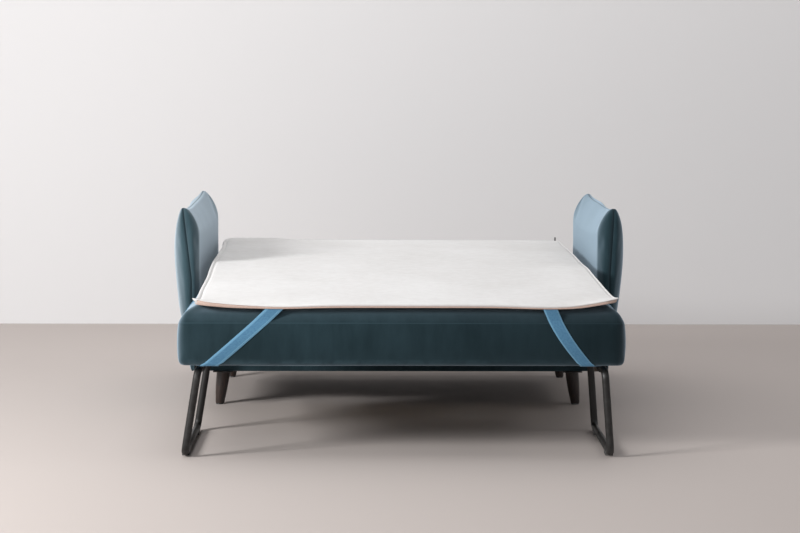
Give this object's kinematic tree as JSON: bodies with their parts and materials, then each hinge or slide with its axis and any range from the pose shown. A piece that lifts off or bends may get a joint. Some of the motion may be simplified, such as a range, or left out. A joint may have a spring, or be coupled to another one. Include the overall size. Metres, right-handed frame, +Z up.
{
  "type": "two-seat sofa bed",
  "caption": "Two-seat velvet sofa bed shown open: upholstered pull-out seat box on folding sled legs, folding back panels, pillow arms, wooden legs and a strapped topper.",
  "frame": {"origin": "on the floor under the middle of the overall box of the open bed", "axes": "+Z up, +Y towards the rear of the sofa, +X to the right seen from the front"},
  "size_m": [1.685, 1.8556, 0.7623],
  "materials": {
    "velvet": "cut-pile velvet, dark teal blue",
    "plywood": "bare birch plywood",
    "slat_wood": "clear varnished beech",
    "leg_wood": "dark walnut stain, satin lacquer",
    "lining_cloth": "black spunbond cloth",
    "webbing": "woven elastic belt",
    "foam": "open-cell foam",
    "black_tube": "satin black powder coat",
    "zinc_steel": "bright zinc plate",
    "black_plastic": "moulded black nylon",
    "topper_cloth": "white knitted quilted cloth",
    "strap_elastic": "blue woven elastic",
    "zip_cloth": "tan woven tape",
    "zip_metal": "black enamel"
  },
  "bodies": {
    "base": {"side_rail_left": "plywood", "side_rail_right": "plywood", "front_rail": "velvet", "middle_rail": "velvet", "centre_rail": "plywood", "rear_rail": "velvet", "base_lining": "lining_cloth", "runner_left": "zinc_steel", "runner_right": "zinc_steel", "rear_bracket_left": "black_tube", "rear_bracket_right": "black_tube", "arm_pad_left": "velvet", "arm_pad_right": "velvet", "arm_board_left": "plywood", "arm_board_right": "plywood", "arm_bolts": "zinc_steel", "wood_leg_front_left": "leg_wood", "wood_leg_front_right": "leg_wood", "wood_leg_rear_left": "leg_wood", "wood_leg_rear_right": "leg_wood", "leg_plates": "black_tube", "leg_studs": "black_tube", "leg_glides": "black_plastic"},
    "rear_panel": {"rear_panel_rail_left": "black_tube", "rear_panel_rail_right": "black_tube", "rear_panel_slats": "slat_wood", "rear_panel_foam": "foam", "rear_panel_cover": "velvet", "rear_pivot_pins": "zinc_steel", "crown_pivot_pins": "zinc_steel"},
    "back_panel": {"back_panel_rail_left": "black_tube", "back_panel_rail_right": "black_tube", "back_panel_slats": "slat_wood", "back_panel_foam": "foam", "back_panel_cover": "velvet", "seat_pivot_pins": "zinc_steel"},
    "seat": {"seat_rail_left": "plywood", "seat_rail_right": "plywood", "seat_rail_front": "plywood", "seat_rail_rear": "plywood", "seat_webbing": "webbing", "seat_foam": "foam", "seat_cover": "velvet", "seat_lining": "lining_cloth", "slide_beam_left": "black_tube", "slide_beam_right": "black_tube", "beam_glides": "black_plastic", "beam_spacers": "black_tube", "sled_clamps_left": "black_tube", "sled_clamps_right": "black_tube"},
    "sled_left": {"sled_leg_left": "black_tube", "sled_pads_left": "black_plastic"},
    "sled_right": {"sled_leg_right": "black_tube", "sled_pads_right": "black_plastic"},
    "topper": {"topper_pad": "topper_cloth", "strap_left": "strap_elastic", "strap_right": "strap_elastic", "zip_tape": "zip_cloth"},
    "zip": {"zip_slider": "zip_metal"},
    "zip_tab": {"zip_pull": "zip_metal"}
  },
  "joints": [
    {"name": "back_fold", "type": "hinge", "parent": "base", "child": "rear_panel", "pos_m": [0, 0.845, 0.397], "axis": [-1, 0, 0], "range_deg": [0, 84]},
    {"name": "crown_hinge", "type": "hinge", "parent": "rear_panel", "child": "back_panel", "pos_m": [0, 0.355, 0.397], "axis": [1, 0, 0], "range_deg": [0, 168]},
    {"name": "seat_hinge", "type": "hinge", "parent": "back_panel", "child": "seat", "pos_m": [0, -0.135, 0.397], "axis": [-1, 0, 0], "range_deg": [0, 84]},
    {"name": "sled_fold_left", "type": "hinge", "parent": "seat", "child": "sled_left", "pos_m": [-0.676, -0.665, 0.29], "axis": [0, -1, 0], "range_deg": [0, 99.5]},
    {"name": "sled_fold_right", "type": "hinge", "parent": "seat", "child": "sled_right", "pos_m": [0.676, -0.665, 0.29], "axis": [0, 1, 0], "range_deg": [0, 94.8]},
    {"name": "topper_lift", "type": "slide", "parent": "base", "child": "topper", "axis": [0, 0, 1], "range_m": [0, 0.74], "deforming": ["strap_left", "strap_right"]},
    {"name": "zip_slide", "type": "slide", "parent": "topper", "child": "zip", "axis": [-1, 0, 0], "range_m": [0, 1.33]},
    {"name": "zip_pull_tilt", "type": "hinge", "parent": "zip", "child": "zip_tab", "pos_m": [0.675, 0.9211, 0.5363], "axis": [-1, 0, 0], "range_deg": [0, 160]}
  ],
  "couplings": [
    {"joint": "crown_hinge", "follows": "back_fold", "ratio": 2},
    {"joint": "seat_hinge", "follows": "back_fold", "ratio": 1},
    {"joint": "sled_fold_left", "follows": "back_fold", "ratio": 1.18},
    {"joint": "sled_fold_right", "follows": "back_fold", "ratio": 1.125},
    {"joint": "topper_lift", "follows": "back_fold", "m_per_rad": 0.5}
  ]
}
